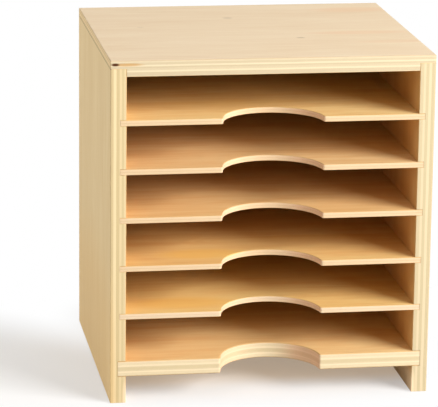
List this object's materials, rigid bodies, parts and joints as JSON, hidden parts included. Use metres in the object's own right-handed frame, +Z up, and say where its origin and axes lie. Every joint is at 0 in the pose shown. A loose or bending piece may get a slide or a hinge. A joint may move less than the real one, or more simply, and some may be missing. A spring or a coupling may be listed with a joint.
{
  "type": "paper storage rack",
  "caption": "Plywood desktop rack with stacked open trays for square craft paper, a half-round finger scoop in each shelf, and side panels that run down as feet.",
  "frame": {"origin": "on the floor under the middle of the rack's bounding box", "axes": "+X to the right seen from the open front, +Y from the open front to the back panel, +Z up"},
  "size_m": [0.356, 0.316, 0.3831],
  "materials": {
    "board_plywood": "light birch plywood, clear matt lacquer, bare sanded edges",
    "sheet_plywood": "thin birch plywood, clear matt lacquer, bare sanded edges",
    "screw_steel": "zinc-plated"
  },
  "bodies": {
    "root": {"left_side_panel": "board_plywood", "right_side_panel": "board_plywood", "top_panel": "board_plywood", "base_board": "board_plywood", "back_panel": "sheet_plywood", "back_screws": "screw_steel", "shelf_1": "sheet_plywood", "shelf_2": "sheet_plywood", "shelf_3": "sheet_plywood", "shelf_4": "sheet_plywood", "shelf_5": "sheet_plywood"}
  },
  "joints": []
}
